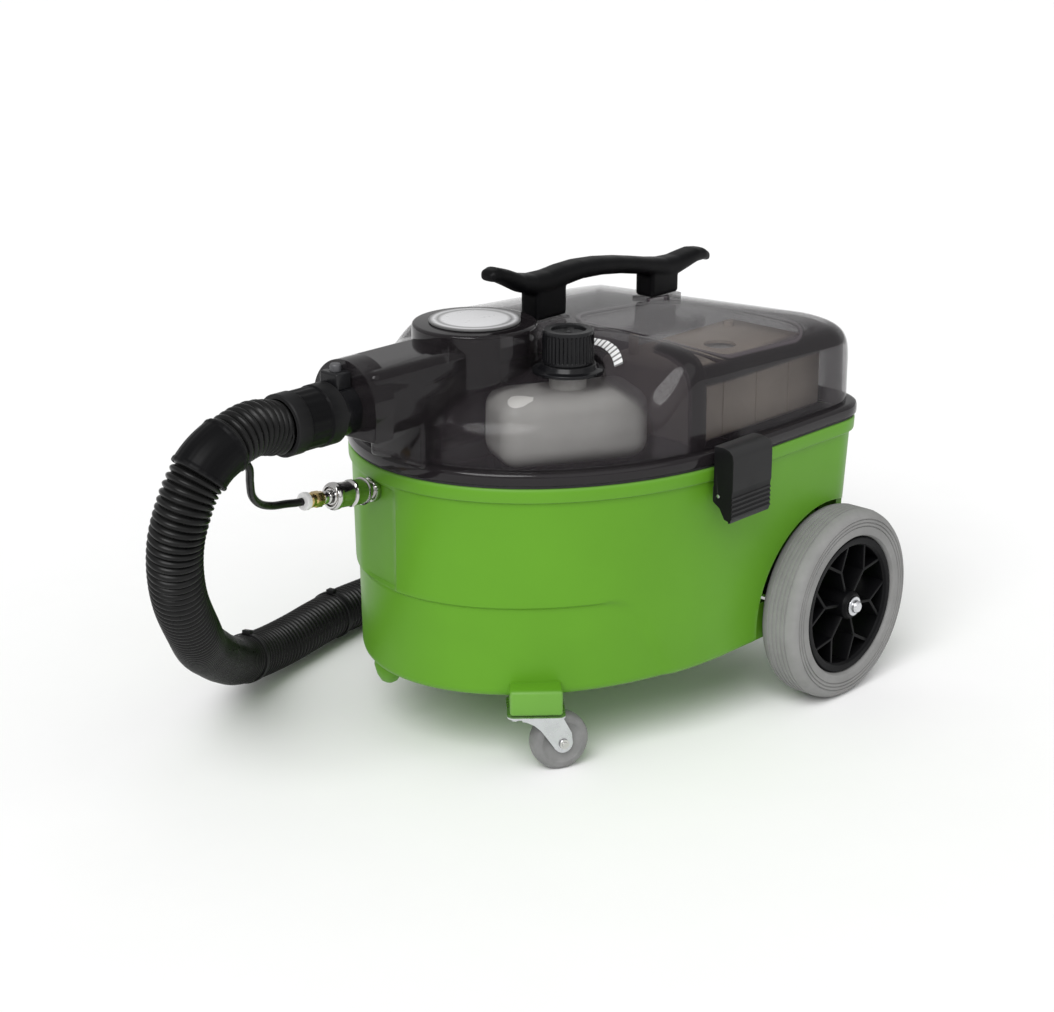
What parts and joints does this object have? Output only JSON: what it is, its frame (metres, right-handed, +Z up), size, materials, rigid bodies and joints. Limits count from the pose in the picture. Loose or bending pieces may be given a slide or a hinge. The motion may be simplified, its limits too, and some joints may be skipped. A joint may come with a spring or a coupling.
{
  "type": "spray-extraction carpet cleaner",
  "caption": "Wheeled green tub with a smoked lid, arched carrying handle, side latches, corrugated suction hose and a quick coupler with a thin solution hose.",
  "frame": {"origin": "centre of the machine's footprint box on the floor, without the hoses", "axes": "+X from the hose inlet towards the large rear wheels, +Z up, -Y the side with the seen caster and latch"},
  "size_m": [1.1785, 0.8623, 0.4605],
  "materials": {
    "tub_green": "moulded, semi-gloss",
    "smoked": "smoked transparent plastic",
    "black_plastic": "fine-grained",
    "hose_black": "satin",
    "seal_rubber": "matt",
    "tyre_grey": "grooved, matt",
    "milky_plastic": "translucent natural",
    "beige_plastic": "plain",
    "white_plastic": "plain",
    "grey_plastic": "plain",
    "zinc_steel": "zinc-plated",
    "chrome": "polished",
    "brass": "machined"
  },
  "bodies": {
    "base": {"tub": "tub_green", "lid_seal": "seal_rubber", "recovery_tank": "black_plastic", "solution_tank": "milky_plastic", "vacuum_motor": "zinc_steel", "motor_seal": "seal_rubber", "motor_deck": "zinc_steel", "pump": "grey_plastic", "suction_filter": "white_plastic", "pressure_tube": "hose_black", "control_panel": "black_plastic", "cord_inlet": "black_plastic", "exhaust_grille": "black_plastic", "rear_axle": "zinc_steel", "near_latch_bracket": "black_plastic", "near_latch_pin": "zinc_steel", "far_latch_bracket": "black_plastic", "far_latch_pin": "zinc_steel", "near_caster_plate": "zinc_steel", "far_caster_plate": "zinc_steel", "coupler_body": "chrome", "hose_plug": "chrome", "hose_nut": "brass", "hose_ferrule": "white_plastic", "solution_hose": "hose_black", "suction_hose": "hose_black", "hose_band": "black_plastic", "hose_tie_1": "black_plastic", "hose_tie_2": "black_plastic", "hose_end_cuff": "black_plastic"},
    "lid": {"lid": "smoked", "handle": "black_plastic", "turret_label": "white_plastic", "inlet_spigot": "black_plastic", "filler_collar": "black_plastic", "defoamer_bottle": "milky_plastic", "air_box": "beige_plastic", "float_cage": "white_plastic", "hose_cuff": "black_plastic"},
    "cap": {"bottle_cap": "black_plastic"},
    "float": {"float_ball": "white_plastic"},
    "release_button": {"hose_release_button": "grey_plastic"},
    "sleeve": {"coupler_sleeve": "chrome"},
    "vacuum_rocker": {"vacuum_switch": "black_plastic"},
    "pump_rocker": {"pump_switch": "black_plastic"},
    "near_latch": {"near_latch_lever": "black_plastic"},
    "near_wheel": {"near_tyre": "tyre_grey", "near_rim": "black_plastic", "near_hub_cap": "chrome"},
    "near_caster": {"near_caster_fork": "zinc_steel", "near_caster_pin": "zinc_steel"},
    "near_caster_roll": {"near_caster_wheel": "tyre_grey"},
    "far_latch": {"far_latch_lever": "black_plastic"},
    "far_wheel": {"far_tyre": "tyre_grey", "far_rim": "black_plastic", "far_hub_cap": "chrome"},
    "far_caster": {"far_caster_fork": "zinc_steel", "far_caster_pin": "zinc_steel"},
    "far_caster_roll": {"far_caster_wheel": "tyre_grey"}
  },
  "joints": [
    {"name": "lid_lift", "type": "slide", "parent": "base", "child": "lid", "axis": [0, 0, 1], "range_m": [0, 0.09]},
    {"name": "cap_turn", "type": "hinge", "parent": "lid", "child": "cap", "pos_m": [-0.0475, -0.09, 0.3868], "axis": [0, 0, 1], "range_deg": [0, 270]},
    {"name": "float_rise", "type": "slide", "parent": "lid", "child": "float", "axis": [0, 0, 1], "range_m": [0, 0.033]},
    {"name": "release_press", "type": "slide", "parent": "lid", "child": "release_button", "axis": [0, 0, -1], "range_m": [0, 0.003], "stiffness_N_per_m": 300, "springref_m": -0.003},
    {"name": "sleeve_pull", "type": "slide", "parent": "base", "child": "sleeve", "axis": [0.9945, 0, -0.1045], "range_m": [0, 0.004], "stiffness_N_per_m": 400, "springref_m": -0.004},
    {"name": "vacuum_rock", "type": "hinge", "parent": "base", "child": "vacuum_rocker", "pos_m": [0.2883, -0.025, 0.22], "axis": [0, -1, 0], "range_deg": [0, 16]},
    {"name": "pump_rock", "type": "hinge", "parent": "base", "child": "pump_rocker", "pos_m": [0.2883, 0.025, 0.22], "axis": [0, -1, 0], "range_deg": [0, 16]},
    {"name": "near_latch_swing", "type": "hinge", "parent": "base", "child": "near_latch", "pos_m": [0.0575, -0.2135, 0.2625], "axis": [1, 0, 0], "range_deg": [0, 18], "stiffness_Nm_per_rad": 0.4, "springref_deg": -11.46},
    {"name": "near_wheel_spin", "type": "hinge", "parent": "base", "child": "near_wheel", "pos_m": [0.2295, -0.2125, 0.1], "axis": [0, 1, 0], "continuous": true},
    {"name": "near_caster_swivel", "type": "hinge", "parent": "base", "child": "near_caster", "pos_m": [-0.1225, -0.118, 0.0625], "axis": [0, 0, 1], "continuous": true},
    {"name": "near_caster_spin", "type": "hinge", "parent": "near_caster", "child": "near_caster_roll", "pos_m": [-0.10075, -0.12814, 0.029], "axis": [0.4226, 0.9063, 0], "continuous": true},
    {"name": "far_latch_swing", "type": "hinge", "parent": "base", "child": "far_latch", "pos_m": [0.0575, 0.2135, 0.2625], "axis": [-1, 0, 0], "range_deg": [0, 18], "stiffness_Nm_per_rad": 0.4, "springref_deg": -11.46},
    {"name": "far_wheel_spin", "type": "hinge", "parent": "base", "child": "far_wheel", "pos_m": [0.2295, 0.2125, 0.1], "axis": [0, 1, 0], "continuous": true},
    {"name": "far_caster_swivel", "type": "hinge", "parent": "base", "child": "far_caster", "pos_m": [-0.0105, 0.118, 0.0625], "axis": [0, 0, 1], "continuous": true},
    {"name": "far_caster_spin", "type": "hinge", "parent": "far_caster", "child": "far_caster_roll", "pos_m": [0.01125, 0.10786, 0.029], "axis": [0.4226, 0.9063, 0], "continuous": true}
  ]
}
